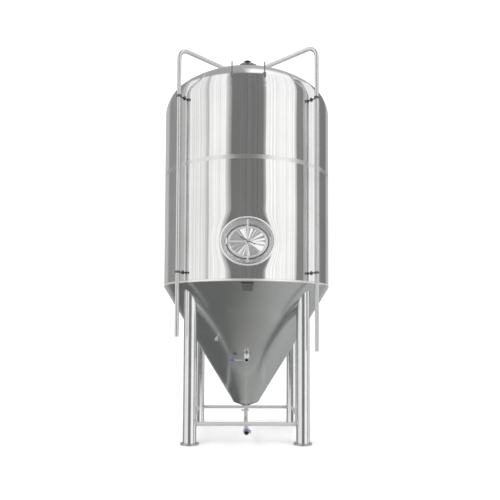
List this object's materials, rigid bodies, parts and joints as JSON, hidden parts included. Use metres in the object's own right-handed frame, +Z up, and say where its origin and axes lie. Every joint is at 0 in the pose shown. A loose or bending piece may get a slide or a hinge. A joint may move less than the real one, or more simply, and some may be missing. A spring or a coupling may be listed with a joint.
{
  "type": "conical fermenter",
  "caption": "Insulated, jacketed steel tank with a dished top, a steep cone, an oval side manway, side pipes and valves, on braced legs.",
  "frame": {"origin": "on the floor, under the vessel's vertical axis", "axes": "+Z up; the manway and both process valves face -Y; +X is to the right for someone who faces the manway"},
  "size_m": [1.8, 1.92, 4.1413],
  "materials": {
    "polished_cladding": "mirror-polished stainless sheet with fine vertical lapping marks",
    "satin_cladding": "semi-bright stainless sheet",
    "tank_steel": "pickled and bead-blasted stainless",
    "insulation": "rigid foam",
    "leg_steel": "satin-ground stainless tube",
    "manway_steel": "ground and polished stainless",
    "pipe_steel": "bright-drawn sanitary tube",
    "fitting_steel": "cast and turned stainless, vibro-polished",
    "seal": "white silicone",
    "grip": "blue-violet moulded sleeve",
    "black_cap": "black moulded cap",
    "plate": "blank satin plate"
  },
  "bodies": {
    "root": {"cladding_shell": "polished_cladding", "cladding_top": "polished_cladding", "cladding_cone": "satin_cladding", "cladding_cone_cap": "satin_cladding", "inner_cylinder": "tank_steel", "inner_top_head": "tank_steel", "inner_cone": "tank_steel", "insulation_shell": "insulation", "insulation_top": "insulation", "insulation_cone": "insulation", "upper_jacket": "tank_steel", "lower_jacket": "tank_steel", "cone_jacket": "tank_steel", "coolant_ports": "pipe_steel", "leg_front_left": "leg_steel", "leg_front_right": "leg_steel", "leg_rear_left": "leg_steel", "leg_rear_right": "leg_steel", "foot_plates": "leg_steel", "brace_front": "leg_steel", "brace_rear": "leg_steel", "brace_left": "leg_steel", "brace_right": "leg_steel", "manway_neck": "tank_steel", "manway_collar": "manway_steel", "manway_gasket": "seal", "manway_hinge_lugs": "manway_steel", "manway_hinge_pin": "manway_steel", "cip_pipe": "pipe_steel", "gas_pipe": "pipe_steel", "pipe_brackets": "fitting_steel", "dome_collars": "satin_cladding", "hop_port_neck": "fitting_steel", "hop_port_clamp": "fitting_steel", "hop_port_cap": "fitting_steel", "relief_valve_body": "fitting_steel", "relief_valve_spring": "fitting_steel", "relief_valve_cap": "black_cap", "ladder_posts": "fitting_steel", "nameplate": "plate", "thermowell": "tank_steel", "sample_valve": "fitting_steel", "line_ferrules": "tank_steel", "outlet_elbow": "pipe_steel", "line_clamps": "fitting_steel", "line_gaskets": "seal", "outlet_valve_body": "fitting_steel", "racking_valve_body": "fitting_steel"},
    "door": {"manway_door": "manway_steel", "manway_arm": "manway_steel", "manway_yoke": "manway_steel", "manway_washer": "manway_steel"},
    "door_handle": {"manway_handle": "manway_steel"},
    "outlet_lever": {"outlet_valve_rotor": "fitting_steel", "outlet_valve_grip": "grip"},
    "racking_lever": {"racking_valve_rotor": "fitting_steel", "racking_valve_grip": "grip"},
    "sample_knob": {"sample_valve_knob": "fitting_steel"},
    "relief_poppet": {"relief_valve_poppet": "fitting_steel"},
    "spray_head": {"spray_ball": "tank_steel"}
  },
  "joints": [
    {"name": "manway_swing", "type": "hinge", "parent": "root", "child": "door", "pos_m": [-0.204, -0.872, 1.965], "axis": [0, 0, -1], "range_deg": [0, 110]},
    {"name": "handle_spin", "type": "hinge", "parent": "door", "child": "door_handle", "pos_m": [0, -0.93, 1.965], "axis": [0, -1, 0], "continuous": true},
    {"name": "outlet_valve_turn", "type": "hinge", "parent": "root", "child": "outlet_lever", "pos_m": [0, -0.665, 0.146], "axis": [0, 0, 1], "range_deg": [0, 90]},
    {"name": "racking_valve_turn", "type": "hinge", "parent": "root", "child": "racking_lever", "pos_m": [0, -0.49959, 0.85899], "axis": [0, -0.524, 0.8517], "range_deg": [0, 90]},
    {"name": "sample_knob_turn", "type": "hinge", "parent": "root", "child": "sample_knob", "pos_m": [-0.30274, -0.51601, 1.04228], "axis": [-0.431, -0.7346, -0.524], "range_deg": [0, 360]},
    {"name": "relief_lift", "type": "slide", "parent": "root", "child": "relief_poppet", "axis": [0, 0, 1], "range_m": [0, 0.004], "stiffness_N_per_m": 1500, "springref_m": -0.003, "deforming": ["relief_valve_spring"]},
    {"name": "spray_spin", "type": "hinge", "parent": "root", "child": "spray_head", "pos_m": [-0.19, -0.1, 3.59], "axis": [0, 0, 1], "continuous": true}
  ]
}
